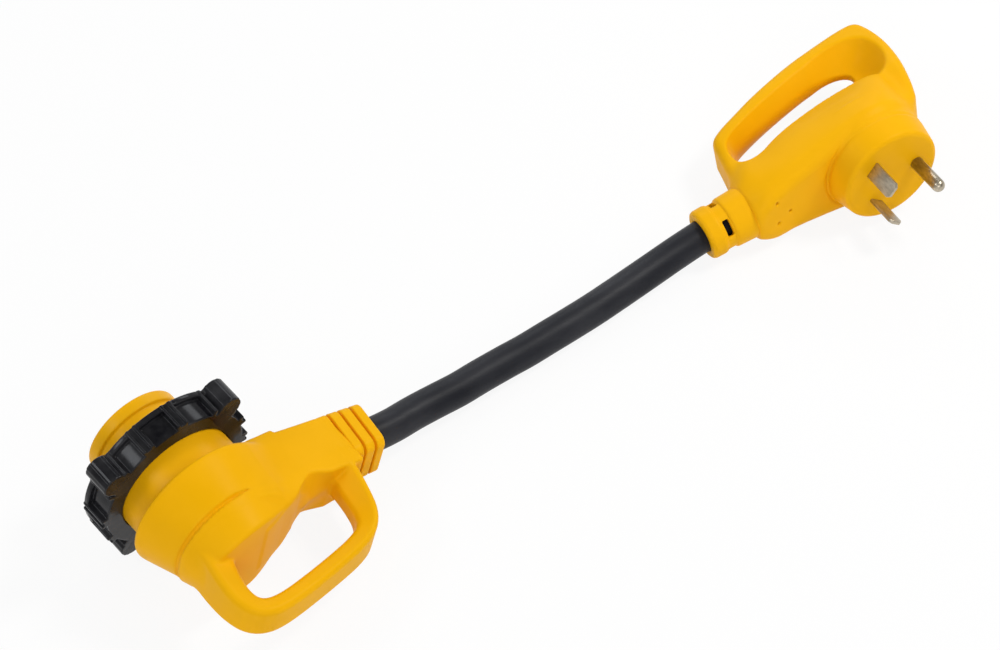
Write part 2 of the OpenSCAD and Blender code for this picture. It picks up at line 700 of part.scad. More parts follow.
// ---------- locking ring ----------

module ring_seal()
    color("#2B2B2D") at_conn() back_from(-seal_depth) difference() {
        cylinder(r = seal_r, h = seal_t, $fn = 96);
        translate([0, 0, -1]) cylinder(r = ring_bore_r, h = seal_t + 2, $fn = 96);
    }

// One grip lobe, with rounded corners
module lobe() {
    corner = 3;
    translate([ring_r - 4, -lobe_w / 2]) square([lobe_r - ring_r + 4 - corner, lobe_w]);
    translate([ring_r - 4, -lobe_w / 2 + corner]) square([lobe_r - ring_r + 4, lobe_w - 2 * corner]);
    for (s = [-1, 1]) translate([lobe_r - corner, s * (lobe_w / 2 - corner)]) circle(r = corner, $fn = 32);
}

// Outline of the ring seen along the barrel
module ring_outline() {
    step = 360 / lobe_count;
    pockets = [0.28, 0.5, 0.72];
    difference() {
        union() {
            circle(r = ring_r, $fn = 128);
            for (i = [0:lobe_count - 1]) rotate(ring_phase + i * step) lobe();
        }
        for (i = [0:lobe_count - 1], p = pockets)
            sector(ring_r, 2 * pocket_depth, ring_phase + (i + p) * step, step * 0.15);
    }
}

module locking_ring()
    color(black) at_conn() difference() {
        back_from(ring_front) linear_extrude(ring_len) ring_outline();
        back_from(ring_front + 1) cylinder(r = thread_r, h = ring_front + 1 + web_depth, $fn = 96);
        back_from(ring_front + 1) cylinder(r = ring_bore_r, h = ring_len + 2, $fn = 96);
        for (y = [ring_front - 1.6:-thread_pitch:-web_depth + 1]) back_from(y) rotate_extrude($fn = 96)
            polygon([[thread_r - 1, 0.1], [thread_r, 0.1], [thread_root_r, 0.6], [thread_root_r, 1], [thread_r, 1.5], [thread_r - 1, 1.5]]);
    }

plug_overmold();
plug_blade_carrier();
hot_blade();
neutral_blade();
ground_pin();
plug_hot_crimp();
plug_neutral_crimp();
plug_ground_crimp();
cord_jacket();
hot_insulation();
neutral_insulation();
ground_insulation();
hot_copper();
neutral_copper();
ground_copper();
connector_overmold();
connector_barrel();
contact_insert();
contact_x();
contact_y();
contact_neutral();
ground_socket();
contact_backplate();
backplate_screws();
hot_jumper();
connector_hot_crimp();
connector_neutral_crimp();
connector_ground_crimp();
ring_seal();
locking_ring();
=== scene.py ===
"""A short extension cord between two yellow moulded heads with finger grips.

One head is a plug with two slanted blades and a round earth pin, the other a
locking connector with a threaded ring. Each head is drawn in its own frame, in
millimetres: x runs towards the cord, y out of the face and z up, and is then
laid where the CAD says. Everything else is in metres, in the CAD's frame."""
import math
import bpy
import bmesh
import numpy as np
from mathutils import Matrix, Vector


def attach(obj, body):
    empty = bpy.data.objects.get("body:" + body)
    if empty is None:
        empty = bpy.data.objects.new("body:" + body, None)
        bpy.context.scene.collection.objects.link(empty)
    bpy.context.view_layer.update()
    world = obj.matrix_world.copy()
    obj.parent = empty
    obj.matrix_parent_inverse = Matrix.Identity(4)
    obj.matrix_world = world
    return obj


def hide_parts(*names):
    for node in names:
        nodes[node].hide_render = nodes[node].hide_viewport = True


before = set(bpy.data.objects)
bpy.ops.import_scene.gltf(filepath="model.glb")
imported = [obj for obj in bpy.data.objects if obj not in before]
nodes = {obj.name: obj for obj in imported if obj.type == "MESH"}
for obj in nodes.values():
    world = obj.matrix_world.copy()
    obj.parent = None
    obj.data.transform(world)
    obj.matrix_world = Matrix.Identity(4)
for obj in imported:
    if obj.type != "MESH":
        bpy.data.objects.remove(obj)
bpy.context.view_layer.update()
MM = 0.001
COLLECTION = bpy.context.scene.collection


def head_place(at, turn):
    """The matrix that lays a head's own frame, in mm, in the row's frame, in metres."""
    phi, pitch, yaw = (math.radians(a) for a in turn)
    turned = (Matrix.Rotation(yaw, 4, "Z") @ Matrix.Rotation(pitch, 4, "Y") @ Matrix.Rotation(phi, 4, "X"))
    return Matrix.Translation(Vector(at) * MM) @ turned @ Matrix.Scale(MM, 4)


PLUG = head_place((190.2, -1.6, 32.03), (5, 10.5, 180.5))
CONN = head_place((-194.8, 1.9, 40.15), (6, 12, 16))
PLUG_CORD_DEPTH = 24.5
ARM_ANGLE = math.radians(8)
ARM_DEPTH = 28.6


def on_plug(x):
    return PLUG @ Vector((x, -PLUG_CORD_DEPTH, 0))


def on_arm(u):
    return CONN @ Vector((u * math.cos(ARM_ANGLE), -ARM_DEPTH - u * math.sin(ARM_ANGLE), 0))


# ---------- camera ----------
def make_camera():
    turn, rise, distance = math.radians(-27.7), math.radians(52.0), 1.0572
    aim = Vector((-0.01258, 0.02775, 0))
    back = Vector((math.sin(turn) * math.cos(rise), -math.cos(turn) * math.cos(rise), math.sin(rise)))
    data = bpy.data.cameras.new("camera")
    data.lens = 78.45
    data.sensor_width = 36
    data.clip_start = 0.05
    data.clip_end = 20
    cam = bpy.data.objects.new("camera", data)
    cam.location = aim + back * distance
    cam.rotation_euler = back.to_track_quat("Z", "Y").to_euler()
    COLLECTION.objects.link(cam)
    bpy.context.scene.camera = cam


make_camera()

# ---------- cord ----------
CORD_D = 0.0165
# The loose stretch between the heads, in mm, with the same points as in part.scad
cord_free = [
    (-89.7, -11.6, 15.2), (-76.7, -8.3, 13), (-64.2, -6, 11.4), (-51.5, -4.2, 10.4),
    (-38.8, -1.8, 9.8), (-25, 0.4, 9.3), (-12.2, 2.1, 9), (0.8, 4.4, 8.8), (13.8, 6.6, 8.7),
    (27.8, 9.1, 8.7), (40.8, 11.8, 8.8), (53.8, 14.6, 9), (66.8, 17.3, 9.5), (80.8, 19.9, 10.6)]
cord_route = ([on_arm(u) for u in (63.5, 76, 89)] + [Vector(p) * MM for p in cord_free]
              + [on_plug(x) for x in (95, 82, 69.5)])


def spline_points(points, per_span):
    """Catmull-Rom through the points."""
    pts = [2 * points[0] - points[1]] + list(points) + [2 * points[-1] - points[-2]]
    out = []
    for a, b, c, d in zip(pts, pts[1:], pts[2:], pts[3:]):
        for i in range(per_span):
            t = i / per_span
            out.append(0.5 * (2 * b + (c - a) * t + (2 * a - 5 * b + 4 * c - d) * t * t
                              + (3 * b - a - 3 * c + d) * t ** 3))
    return out + [points[-1].copy()]


def new_mesh(name, verts, faces, smooth=True):
    mesh = bpy.data.meshes.new(name)
    mesh.from_pydata([tuple(v) for v in verts], [], [tuple(int(i) for i in f) for f in faces])
    mesh.validate()
    if smooth:
        mesh.shade_smooth()
    obj = bpy.data.objects.new(name, mesh)
    COLLECTION.objects.link(obj)
    return obj


def tube(name, path, radius, sides=40):
    """A tube round a path, closed flat at both ends."""
    n = len(path)
    heading = [(path[min(i + 1, n - 1)] - path[max(i - 1, 0)]).normalized() for i in range(n)]
    side = heading[0].cross(Vector((0, 0, 1))).normalized()
    rings = []
    for i in range(n):
        side = (side - heading[i] * side.dot(heading[i])).normalized()
        up = side.cross(heading[i])
        rings.append([path[i] + (side * math.cos(a) + up * math.sin(a)) * radius
                      for a in (2 * math.pi * k / sides for k in range(sides))])
    verts = [v for ring in rings for v in ring]
    faces = [(i * sides + k, i * sides + (k + 1) % sides,
              (i + 1) * sides + (k + 1) % sides, (i + 1) * sides + k)
             for i in range(n - 1) for k in range(sides)]
    faces += [tuple(range(sides - 1, -1, -1)), tuple(range((n - 1) * sides, n * sides))]
    return new_mesh(name, verts, faces)


STEPS_PER_SPAN = 10
cord_path = spline_points(cord_route, STEPS_PER_SPAN)
cord_piece = tube("cord_jacket_rubber", cord_path, CORD_D / 2)


# ---------- distance functions, in millimetres ----------
def smin(a, b, k):
    h = np.clip(0.5 + 0.5 * (b - a) / k, 0, 1)
    return b + (a - b) * h - k * h * (1 - h)


def smax(a, b, k):
    return -smin(-a, -b, k)


def both(a, b, r):
    """Inside both forms, with the edge where they meet rounded to r."""
    u, v = np.maximum(a + r, 0), np.maximum(b + r, 0)
    return np.minimum(np.maximum(a, b), -r) + np.hypot(u, v)


def polygon(x, y, pts):
    """Signed distance to a closed polygon in a plane."""
    pts = np.asarray(pts, float)
    shape = np.broadcast(x, y).shape
    d = np.full(shape, 1e9)
    odd = np.zeros(shape, bool)
    for (ax, ay), (bx, by) in zip(pts, np.roll(pts, -1, 0)):
        ex, ey = bx - ax, by - ay
        wx, wy = x - ax, y - ay
        t = np.clip((wx * ex + wy * ey) / (ex * ex + ey * ey), 0, 1)
        d = np.minimum(d, (wx - ex * t) ** 2 + (wy - ey * t) ** 2)
        if ay != by:
            odd ^= ((ay > y) != (by > y)) & (x < ax + ex * (y - ay) / ey)
    return np.where(odd, -1, 1) * np.sqrt(d)


def smooth_closed(pts, rounds=2):
    """Corner cutting on a closed outline."""
    p = np.asarray(pts, float)
    for _ in range(rounds):
        q = np.roll(p, -1, 0)
        p = np.stack([0.75 * p + 0.25 * q, 0.25 * p + 0.75 * q], 1).reshape(-1, p.shape[1])
    return p


def smooth_open(pts, rounds=2):
    p = np.asarray(pts, float)
    for _ in range(rounds):
        a, b = p[:-1], p[1:]
        mid = np.stack([0.75 * a + 0.25 * b, 0.25 * a + 0.75 * b], 1).reshape(-1, p.shape[1])
        p = np.concatenate([p[:1], mid[1:-1], p[-1:]])
    return p


def along(x, y, line):
    """Distance to an open line in a plane, which side of it, and the line's other columns there."""
    line = np.asarray(line, float)
    shape = np.broadcast(x, y).shape
    best = np.full(shape, 1e9)
    side = np.zeros(shape)
    extra = [np.zeros(shape) for _ in range(line.shape[1] - 2)]
    for a, b in zip(line[:-1], line[1:]):
        ex, ey = b[0] - a[0], b[1] - a[1]
        t = np.clip(((x - a[0]) * ex + (y - a[1]) * ey) / (ex * ex + ey * ey), 0, 1)
        d = np.hypot(x - a[0] - ex * t, y - a[1] - ey * t)
        near = d < best
        best = np.where(near, d, best)
        side = np.where(near, ((x - a[0]) * ey - (y - a[1]) * ex) / np.hypot(ex, ey), side)
        for j in range(len(extra)):
            extra[j] = np.where(near, a[2 + j] + (b[2 + j] - a[2 + j]) * t, extra[j])
    return [best, side] + extra


def uneven_capsule(x, y, ax, ay, ra, bx, by, rb):
    """Two circles of different size and the tangents that join them."""
    length = np.hypot(bx - ax, by - ay)
    dx, dy = (bx - ax) / length, (by - ay) / length
    u = (x - ax) * dx + (y - ay) * dy
    v = np.abs(-(x - ax) * dy + (y - ay) * dx)
    s = (ra - rb) / length
    c = np.sqrt(1 - s * s)
    k = -s * v + c * u
    d = np.hypot(v, u - length) - rb
    d = np.where(k < c * length, v * c + u * s - ra, d)
    return np.where(k < 0, np.hypot(v, u) - ra, d)


# ---------- surface nets ----------
CUBE = [(i, j, k) for i in (0, 1) for j in (0, 1) for k in (0, 1)]
CUBE_EDGES = [(a, b) for a in CUBE for b in CUBE if a < b and sum(abs(p - q) for p, q in zip(a, b)) == 1]


def settle(f, p, limit, eps=0.03):
    """One step of every point onto the surface."""
    x, y, z = p.T
    d = f(x, y, z)
    g = np.stack([f(x + eps, y, z) - d, f(x, y + eps, z) - d, f(x, y, z + eps) - d], 1) / eps
    move = -d[:, None] * g / np.maximum((g * g).sum(1), 0.05)[:, None]
    size = np.linalg.norm(move, axis=1)
    return p + move * np.minimum(1, limit / np.maximum(size, 1e-9))[:, None], g


def surface_of(f, low, high, step, rounds=3):
    """The surface where f is zero, as points and quads."""
    low, high = np.asarray(low, float), np.asarray(high, float)
    n = np.ceil((high - low) / step).astype(int) + 1
    axes = [low[i] + step * np.arange(n[i]) for i in range(3)]
    v = np.empty(n, np.float32)
    for i in range(0, n[0], 24):
        v[i:i + 24] = f(*np.meshgrid(axes[0][i:i + 24], axes[1], axes[2], indexing="ij", sparse=True))
    inside = v < 0
    c = np.zeros(n - 1, np.int8)
    for dx, dy, dz in CUBE:
        c += inside[dx:n[0] - 1 + dx, dy:n[1] - 1 + dy, dz:n[2] - 1 + dz]
    cells = np.argwhere((c > 0) & (c < 8))
    index = np.full(n - 1, -1, np.int64)
    index[tuple(cells.T)] = np.arange(len(cells))
    total, count = np.zeros((len(cells), 3)), np.zeros(len(cells))
    for a, b in CUBE_EDGES:
        va, vb = v[tuple((cells + a).T)], v[tuple((cells + b).T)]
        cut = (va < 0) != (vb < 0)
        t = np.where(cut, va / np.where(cut, va - vb, 1), 0)
        total += np.where(cut[:, None], np.asarray(a) + t[:, None] * (np.asarray(b) - np.asarray(a)), 0)
        count += cut
    p = low + step * (cells + total / count[:, None])
    faces = []
    unit = np.eye(3, dtype=int)
    for ax in range(3):
        u, w = (ax + 1) % 3, (ax + 2) % 3
        lo, hi = [slice(1, -1)] * 3, [slice(1, -1)] * 3
        lo[ax], hi[ax] = slice(0, -1), slice(1, None)
        a = inside[tuple(lo)]
        e = np.argwhere(a != inside[tuple(hi)])
        out = a[tuple(e.T)]
        e[:, u] += 1
        e[:, w] += 1
        du, dw = unit[u], unit[w]
        q = np.stack([index[tuple((e - s).T)] for s in (du + dw, dw, 0 * dw, du)], 1)
        q[~out] = q[~out][:, ::-1]
        faces.append(q)
    faces = np.concatenate(faces)
    ring = np.stack([faces, np.roll(faces, -1, 1)], -1).reshape(-1, 2)
    ring = np.concatenate([ring, ring[:, ::-1]])
    links = np.bincount(ring[:, 0], minlength=len(p))[:, None]
    for k in range(rounds):
        p, g = settle(f, p, 0.5 * step)
        if k < rounds - 1:
            mean = np.stack([np.bincount(ring[:, 0], p[ring[:, 1], i], len(p)) for i in range(3)], 1) / links
            slide = mean - p
            g /= np.maximum(np.linalg.norm(g, axis=1), 1e-9)[:, None]
            p = p + 0.6 * (slide - g * (slide * g).sum(1)[:, None])
    return p, faces


COARSE = 1.0


def sculpt(name, f, low, high, step, place):
    """A piece whose surface is where f is zero, in a head's frame."""
    p, faces = surface_of(f, low, high, step * COARSE)
    m = np.array(place)
    mesh = bpy.data.meshes.new(name)
    mesh.vertices.add(len(p))
    mesh.vertices.foreach_set("co", (p @ m[:3, :3].T + m[:3, 3]).astype(np.float32).ravel())
    mesh.loops.add(4 * len(faces))
    mesh.loops.foreach_set("vertex_index", faces.astype(np.int32).ravel())
    mesh.polygons.add(len(faces))
    mesh.polygons.foreach_set("loop_start", np.arange(0, 4 * len(faces), 4, dtype=np.int32))
    mesh.update(calc_edges=True)
    mesh.validate()
    mesh.shade_smooth()
    obj = bpy.data.objects.new(name, mesh)
    COLLECTION.objects.link(obj)
    return obj


# ---------- the plug's moulding ----------
PLUG_BODY_PLAN = smooth_closed([
    (-34, -14), (44, -13.5), (60, -10.5), (78, -8.5), (80, -42), (62, -46), (48, -48.5), (30, -53.5),
    (8, -57), (-12, -60), (-38, -60), (-36, -30)])
PLUG_GRIP_OUTER = smooth_closed([
    (68, -32), (67.5, -44), (64.5, -58), (63, -66.5), (56, -71), (44, -75.5), (30, -80.8), (5, -87.5),
    (-14, -90), (-30, -91.6), (-38.5, -90.5), (-41.5, -83), (-43, -69), (-41, -52), (-36.5, -35), (-31, -22),
    (-10, -20), (50, -22)])
PLUG_GAP = smooth_closed([
    (57.5, -45), (50, -43.5), (36, -49.8), (18, -53), (0, -55.2), (-12, -57.5), (-20, -62), (-20, -68.5),
    (-12, -72.5), (2, -72.2), (18, -69), (38, -64.5), (54, -60.5), (58.5, -53)], 3)
PLUG_DISH = smooth_closed([
    (60, -43), (50, -41.5), (36, -47.5), (18, -51), (0, -52.5), (-10, -50.5), (-18, -48), (-30, -48.5),
    (-37, -57), (-38, -72), (-30, -82), (-14, -83), (5, -79.5), (28, -73.5), (46, -67.5), (57, -62),
    (61, -54)], 3)
PINHOLES = ((58.4, 10.5), (51.3, -0.8), (59.2, -3.7))
PINHOLE_R = 0.95
PLUG_FACE = [(0, -1.2), (24.0, -1.2), (25.1, -1.7), (27.2, -13.5), (27.2, -30), (0, -30)]


def plug_moulding(x, y, z):
    az = np.abs(z)
    cord_r = np.hypot(y + PLUG_CORD_DEPTH, z)
    face_r = np.hypot(x, z)
    # body: its plan crossed with its tapering outline seen from the face
    d_gap, d_dish = polygon(x, y, PLUG_GAP), polygon(x, y, PLUG_DISH)
    taper = uneven_capsule(x, az, 0, 0, 30.3, 71, 0, 15.6)
    taper = smax(taper, 0.8 * (az - 12.6 - 0.7 * np.maximum(d_gap, 0)), 7)
    body = both(polygon(x, y, PLUG_BODY_PLAN), taper, 8)
    near_face = np.clip((y + PLUG_CORD_DEPTH) / np.maximum(cord_r, 1), 0, 1)
    cone = (cord_r - 13.7 - 2.2 * near_face ** 2 - (0.8 - 0.18 * near_face) * np.maximum(70.5 - x, 0)) * 0.8
    body = smax(smax(body, cone, 3), x - 70.3, 1.5)
    # grip: a hoop whose inner walls slope down to the finger gap
    high = 12 + 4.5 * np.clip((-x - 5) / 30, 0, 1) * np.clip((y + 95) / 45, 0, 1)
    hoop = both(polygon(x, y, PLUG_GRIP_OUTER), az - high, 4.5)
    form = smin(body, hoop, 5)
    share = np.clip(d_gap / np.maximum(d_gap - d_dish, 1e-6), 0, 1)
    wall = 2.0 + (high - 1.5) * share ** (0.8 + 0.7 * np.clip(-x / 20, 0, 1)) + np.maximum(d_dish, 0) * 1.5
    form = smax(form, -d_gap, 2.0)
    form = smax(form, np.where(d_dish < 2, (az - wall) * 0.62, -9), 1.0)
    # the raised round face
    form = smin(form, polygon(face_r, y, PLUG_FACE) - 1.2, 0.9)
    foot = np.hypot(face_r - 28.8, y + 13.2) - 0.9
    form = smax(form, -foot, 0.6)
    # pinholes left by the mould near the cord
    for px, pz in PINHOLES:
        form = np.maximum(form, -np.maximum(np.hypot(x - px, z - pz) - PINHOLE_R, -18 - y))
    return form


PLUG_RELIEF = [
    (62, 0), (62, 13), (70, 13.4), (80.4, 13.0), (81.2, 12.7), (81.6, 12.0), (86.9, 12.0), (87.4, 12.6),
    (88.6, 12.9), (93.4, 12.8), (94.5, 12.3), (95, 11.4), (95, 8.9), (94.4, 8.28),
    (89, 8.28), (88.4, 9.9), (80, 9.9), (79.4, 8.28), (70, 8.28), (70, 0)]
SLOT_COUNT, SLOT_X, SLOT_HALF_LENGTH, SLOT_HALF_WIDTH = 4, 84.2, 1.7, 4.3


def plug_relief(x, y, z):
    """The collar the cord leaves by, with its bending slots."""
    up, out = y + PLUG_CORD_DEPTH, z
    form = polygon(x, np.hypot(up, out), PLUG_RELIEF) - 0.25
    for k in range(SLOT_COUNT):
        a = math.radians(38 + 360 / SLOT_COUNT * k)
        across = -up * math.sin(a) + out * math.cos(a)
        outward = up * math.cos(a) + out * math.sin(a)
        slot = both(np.abs(x - SLOT_X) - SLOT_HALF_LENGTH, np.abs(across) - SLOT_HALF_WIDTH, 0.8)
        form = smax(form, -np.maximum(slot, 8.0 - outward), 0.5)
    return form


# ---------- the connector's moulding ----------
CONN_SKIRT = [
    (0, -25.45), (32.9, -25.45), (33.8, -25.9), (34.0, -26.9), (33.5, -28.8), (27.1, -47.6), (26.8, -52),
    (0, -52)]
CONN_SLAB = smooth_closed([
    (-22, -34), (-27.5, -44), (-27.8, -50), (-27, -57), (-23, -61.6), (-14, -63.4), (-4, -63.4), (5, -62.6),
    (12, -61), (18, -59), (31, -54.4), (34, -53.6), (46, -53.2), (54, -53.4), (60, -54), (69.6, -54.9),
    (70, -54.9), (70, -26.8), (69.6, -26.7), (64, -25.8), (43.4, -22.9), (43.2, -22.6), (42.5, -21.2),
    (42.2, -20.9), (36, -20.7), (26, -20.7), (10, -24), (-8, -28)])
RING_ROOM_DEPTH = 20.7  # the moulding starts this far back, clear of the ring when it is slid back
NECK_ROOM_R, NECK_ROOM_DEPTH = 28.42, 25.4
# x, y, half thickness, half height and how much the top slopes, along the grip's middle
CONN_GRIP = smooth_open([
    (-14, -48, 7.0, 12.6, 0), (-16.4, -57, 6.8, 12.4, 0), (-18.7, -68, 6.0, 11, 0), (-19.5, -78, 5.4, 9.5, 0),
    (-17.5, -85.5, 5.1, 8.8, 0), (-12, -89.6, 4.8, 8.5, 0), (-3, -90.6, 4.5, 8.5, 0),
    (12, -89.3, 4.5, 8.5, 0.1), (28, -87.3, 4.5, 8.7, 0.2), (41, -85.2, 4.5, 9, 0.3),
    (49.5, -82, 4.5, 9.6, 0.5), (54.5, -76, 4.7, 10.4, 0.8), (57, -67, 5, 11.2, 1),
    (59, -57, 5.4, 12.2, 1), (60, -47, 5.8, 12.8, 1)])


def connector_moulding(x, y, z):
    az = np.abs(z)
    face_r = np.hypot(x, z)
    # arm: a slab a little higher beside the skirt than at the cord
    top = 17 - 4 * np.clip((x - 26) / 44, 0, 1)
    ramp = 0.14 * np.maximum(-y - 46, 0)
    slab = polygon(x, y, CONN_SLAB)
    # a dip in the arm's back that deepens from its middle towards both sides
    notch = (4.2 * np.clip(1.1 - np.hypot(x - 42, 1.5) / 9.5, 0, 1)
             * np.clip((az - 1) / 13, 0, 1) * np.clip((-y - 36) / 6, 0, 1))
    slab = slab + notch
    arm = both(np.maximum(slab, 8 - x), az + ramp - top, 1.0)
    # heel: closes the skirt behind a raised round edge, and slopes down to the grip
    rounded = uneven_capsule(x, az, 0, 0, 28.0, 25, 0, 16.6)
    dome = (np.where(x > 0, rounded, face_r - 28.0) + 0.34 * np.maximum(-48 - y, 0)) * 0.94
    heel = both(np.maximum(slab, y + 26), dome, 1.2)
    form = smin(arm, heel, 2.5)
    form = smin(form, polygon(face_r, y, CONN_SKIRT), 0.2 + 8 * np.clip((x - 8) / 14, 0, 1))
    # the crease where the skirt meets the heel's raised edge
    crease = np.hypot(face_r - 27.5, y + 46.9) - 1.0 + 1.5 * np.clip(x / 14, 0, 2)
    form = smax(form, -crease, 0.4)
    # grip: a hoop, with its far post sloping down to the hole
    near, side, thick, high, slope = along(x, y, CONN_GRIP)
    across = np.clip(side / thick, -1, 1)
    crest = high * (1 + 0.1 * across * (1 - slope)) - slope * 0.9 * np.maximum(thick * 0.5 - side, 0)
    oblong = both(near - thick, (az - crest) * (1 - 0.25 * slope), 3.6 - 2.2 * slope)
    form = smin(form, np.maximum(oblong, y + 44), 1.6)
    # room for the ring and the barrel's neck
    form = smax(form, y + RING_ROOM_DEPTH, 0.4)
    return np.maximum(form, -np.maximum(face_r - NECK_ROOM_R, -NECK_ROOM_DEPTH - y))


RELIEF_GROOVES = (70.4, 76.3, 82.3)


def connector_relief(u, v, z):
    """Square plates with bending grooves between them, in the arm's frame."""
    half = 13.3 - 0.6 * np.clip((u - 70) / 17, 0, 1)
    square = both(np.abs(v) - half, np.abs(z) - half, 4.6)
    form = both(square, np.abs(u - 75.6) - 11.8, 0.8)
    for at in RELIEF_GROOVES:
        form = smax(form, -both(np.abs(u - at) - 0.7, -(square + 2.4), 0.3), 0.3)
    bore = 8.3 - np.hypot(v, z)
    return smax(form, bore, 0.5)


# ---------- the locking ring ----------
LOBES = (52, 150, 241, 329)  # where the lobes stand, in degrees
RING_REAR = -11.25
THREAD_PITCH, THREAD_MEAN_R, THREAD_HALF_HEIGHT = 2.5, 34.5, 0.55
WEB_R = 28.75  # the ring's bore behind the thread, round the barrel's neck


def ring_form(x, y, z):
    r = np.hypot(x, z)
    angle = np.degrees(np.arctan2(z, x)) % 360
    form = both(r - 36.9, np.abs(y + 4.4) - 6.95, 0.6)
    form = smin(form, both(r - 39.4, np.abs(y - 1.2) - 1.4, 0.7), 0.3)

    def bar(t, middle, depth, wide, corner):
        """A bar across the ring's wall at one angle."""
        t = math.radians(t)
        out = x * math.cos(t) + z * math.sin(t)
        across = -x * math.sin(t) + z * math.cos(t)
        section = both(np.abs(across) - wide, np.abs(out - middle) - depth, corner)
        return both(section, np.abs(y + 4.4) - 6.9, 0.5)

    for a, b in zip(LOBES, LOBES[1:] + (LOBES[0] + 360,)):
        # raised blocks, each with a groove down its middle, and ridges at the feet of the lobes
        for share, wide in ((0.125, 1.0), (0.415, 2.8), (0.69, 2.9), (0.905, 1.0)):
            form = smin(form, bar(a + (b - a) * share, 34, 5.8, wide, 0.5), 0.3)
        for share in (0.415, 0.69):
            form = smax(form, -bar(a + (b - a) * share, 42, 3.4, 1.3, 0.3), 0.3)
        form = smin(form, bar(a, 36, 9.9, 5.6, 4.6), 0.8)
        form = smin(form, bar(a, 36, 10.3, 1.7, 0.7), 0.5)
        for side in (-1, 1):
            form = smin(form, bar(a + 6.6 * side, 34, 8.4, 1.2, 0.8), 0.4)
    # bore, web and thread
    turn = (angle / 360 * THREAD_PITCH - y) % THREAD_PITCH
    thread = THREAD_MEAN_R + THREAD_HALF_HEIGHT * (np.abs(turn / THREAD_PITCH - 0.5) * 4 - 1)
    bore = both(r - thread, -8.2 - y, 0.3)
    form = smax(form, -bore, 0.4)
    form = smax(form, WEB_R - r, 0.4)
    return smax(form, RING_REAR - y, 0.3)


# ---------- the visible pieces ----------
arm_frame = CONN @ Matrix.Translation((0, -ARM_DEPTH, 0)) @ Matrix.Rotation(-ARM_ANGLE, 4, "Z")
plug_body = sculpt("plug_grip_moulding", plug_moulding, (-46, -94, -33), (74, 3, 33), 0.8, PLUG)
plug_collar = sculpt("plug_cord_relief", plug_relief, (60.5, -39.5, -15), (96.5, -9.5, 15), 0.45, PLUG)
conn_body = sculpt("connector_grip_moulding", connector_moulding, (-38, -98, -35), (76, -18, 35), 0.8, CONN)
conn_collar = sculpt(
    "connector_cord_relief", connector_relief, (62.5, -15, -15), (88.5, 15, 15), 0.5, arm_frame)
ring = sculpt("locking_ring_lobed", ring_form, (-48.5, -12.5, -48.5), (48.5, 3.7, 48.5), 0.45, CONN)


def lathe(name, profile, place, sides=128, closed=True):
    """A profile of (radius, y) turned round the y axis."""
    n = len(profile)
    verts = [place @ Vector((r * math.cos(a), y, r * math.sin(a)))
             for a in (2 * math.pi * k / sides for k in range(sides)) for r, y in profile]
    rows = n if closed else n - 1
    faces = [(k * n + i, k * n + (i + 1) % n,
              (k + 1) % sides * n + (i + 1) % n, (k + 1) % sides * n + i)
             for k in range(sides) for i in range(rows)]
    obj = new_mesh(name, verts, faces)
    mesh = bmesh.new()
    mesh.from_mesh(obj.data)
    bmesh.ops.remove_doubles(mesh, verts=mesh.verts, dist=1e-7)
    bmesh.ops.recalc_face_normals(mesh, faces=mesh.faces)
    mesh.to_mesh(obj.data)
    mesh.free()
    return obj


def round_profile(points, radius, steps=4):
    """A closed profile with its corners rounded; radius is one number or one for each corner."""
    out = []
    n = len(points)
    radii = radius if isinstance(radius, (list, tuple)) else [radius] * n
    for i in range(n):
        p, a, b = (Vector(points[j % n]) for j in (i, i - 1, i + 1))
        to_a, to_b = (a - p), (b - p)
        cut = min(radii[i], 0.49 * to_a.length, 0.49 * to_b.length)
        if cut <= 0:
            out.append(tuple(p))
            continue
        s, e = p + to_a.normalized() * cut, p + to_b.normalized() * cut
        for k in range(steps + 1):
            t = k / steps
            out.append(tuple((1 - t) ** 2 * s + 2 * t * (1 - t) * p + t * t * e))
    return out


barrel = lathe("connector_barrel_shell", round_profile([
    (20.02, 21.4), (23.3, 21.4), (23.3, 15.6), (21.9, 14.9), (21.9, -2.2), (24.2, -3.4), (31, -3.4),
    (31, -5.2), (28.4, -5.2), (28.4, -24.6), (32.3, -25.42), (25, -25.42), (25, -31), (20.02, -31)],
    [0.6, 1.1, 0.5, 0.5, 1.0, 1.0, 0.7, 0.7, 0.5, 3.4, 0.0, 0.0, 0.3, 0.3]), CONN)
seal = lathe("ring_seal_rubber", round_profile([
    (28.7, -5.5), (33.9, -5.5), (33.9, -7.9), (28.7, -7.9)], 0.8), CONN)


BLADE_WIDTH, BLADE_THICK, BLADE_LENGTH, BLADE_NOSE, BLADE_STEM = 8.5, 1.8, 18.0, 1.6, 14.0
BLADE_ROW, BLADE_SIDE, BLADE_SLANT = 10.3, 11.8, 45


